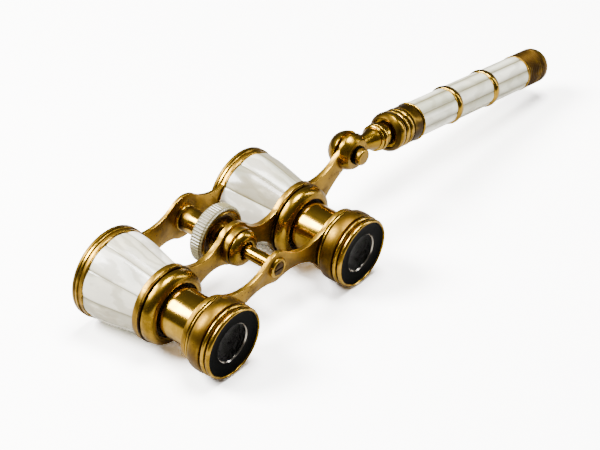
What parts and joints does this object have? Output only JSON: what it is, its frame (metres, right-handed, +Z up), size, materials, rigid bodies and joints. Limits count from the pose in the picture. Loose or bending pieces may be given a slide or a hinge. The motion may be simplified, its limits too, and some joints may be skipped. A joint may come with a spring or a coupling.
{
  "type": "opera glasses",
  "caption": "Brass and mother-of-pearl opera glasses with a centre focusing wheel between the barrels and a folding, extending side handle.",
  "frame": {"origin": "under the middle of the bounding box, on the table the glasses lie on", "axes": "+X across the barrels towards the handle, +Y towards the objectives (the optical axes rise 3.91 degrees towards +Y), +Z up"},
  "size_m": [0.2258, 0.055, 0.0346],
  "materials": {
    "gilt_brass": "satin gilt",
    "polished_brass": "polished",
    "patinated_brass": "polished with brown patina in the grooves",
    "mother_of_pearl": "polished shell",
    "lens_glass": "polished",
    "black_lacquer": "matt black",
    "dark_felt": "felt",
    "bright_ring": "bright",
    "dark_steel": "dark, worn"
  },
  "bodies": {
    "frame": {"mid_bridge": "gilt_brass", "front_bridge": "gilt_brass", "centre_bush": "polished_brass", "front_post": "polished_brass", "front_post_screw": "dark_steel", "left_barrel_tube": "gilt_brass", "left_barrel_staves": "mother_of_pearl", "left_bead_ring": "gilt_brass", "left_objective_bezel": "gilt_brass", "left_objective_lens": "lens_glass", "left_lens_retainer": "black_lacquer", "left_collar": "gilt_brass", "left_felt_ring": "dark_felt", "left_draw_guide": "gilt_brass", "right_barrel_tube": "gilt_brass", "right_barrel_staves": "mother_of_pearl", "right_bead_ring": "gilt_brass", "right_objective_bezel": "gilt_brass", "right_objective_lens": "lens_glass", "right_lens_retainer": "black_lacquer", "right_collar": "gilt_brass", "right_felt_ring": "dark_felt", "right_draw_guide": "gilt_brass"},
    "eyepieces": {"rear_bridge": "gilt_brass", "focus_rod": "polished_brass", "rod_boss": "gilt_brass", "rod_end_screw": "dark_steel", "left_draw_tube": "polished_brass", "left_eyecup_shell": "gilt_brass", "left_eyecup_face": "black_lacquer", "left_eye_lens_ring": "bright_ring", "left_eye_lens": "lens_glass", "left_eye_lens_cell": "black_lacquer", "right_draw_tube": "polished_brass", "right_eyecup_shell": "gilt_brass", "right_eyecup_face": "black_lacquer", "right_eye_lens_ring": "bright_ring", "right_eye_lens": "lens_glass", "right_eye_lens_cell": "black_lacquer"},
    "focus_wheel": {"wheel_sleeve": "polished_brass", "wheel_rim": "mother_of_pearl", "wheel_rear_dish": "polished_brass", "wheel_front_dish": "polished_brass"},
    "handle_knuckle": {"knuckle_ball": "polished_brass", "hinge_pin": "polished_brass", "pin_washer": "dark_steel", "neck_collar": "polished_brass", "inner_tube": "polished_brass", "tube_stop": "dark_steel"},
    "handle_grip": {"grip_ferrule": "patinated_brass", "grip_core_tube": "gilt_brass", "grip_staves_1": "mother_of_pearl", "grip_staves_2": "mother_of_pearl", "grip_staves_3": "mother_of_pearl", "grip_ring_1": "patinated_brass", "grip_ring_2": "patinated_brass", "ferrule_bush": "gilt_brass", "end_cap": "patinated_brass"}
  },
  "joints": [
    {"name": "focus_slide", "type": "slide", "parent": "frame", "child": "eyepieces", "axis": [0, 0.9977, 0.0682], "range_m": [-0.0015, 0.0105]},
    {"name": "focus_turn", "type": "hinge", "parent": "frame", "child": "focus_wheel", "pos_m": [-0.0663, 0.00578, 0.02063], "axis": [0, 0.9977, 0.0682], "range_deg": [-68, 473]},
    {"name": "handle_fold", "type": "hinge", "parent": "frame", "child": "handle_knuckle", "pos_m": [-0.0081, 0.00127, 0.02799], "axis": [0, -0.9977, -0.0682], "range_deg": [-60, 130]},
    {"name": "handle_extend", "type": "slide", "parent": "handle_knuckle", "child": "handle_grip", "axis": [0.9914, 0.0089, -0.1302], "range_m": [0, 0.058]}
  ],
  "couplings": [
    {"joint": "focus_turn", "follows": "focus_slide", "rad_per_m": 785.4}
  ]
}
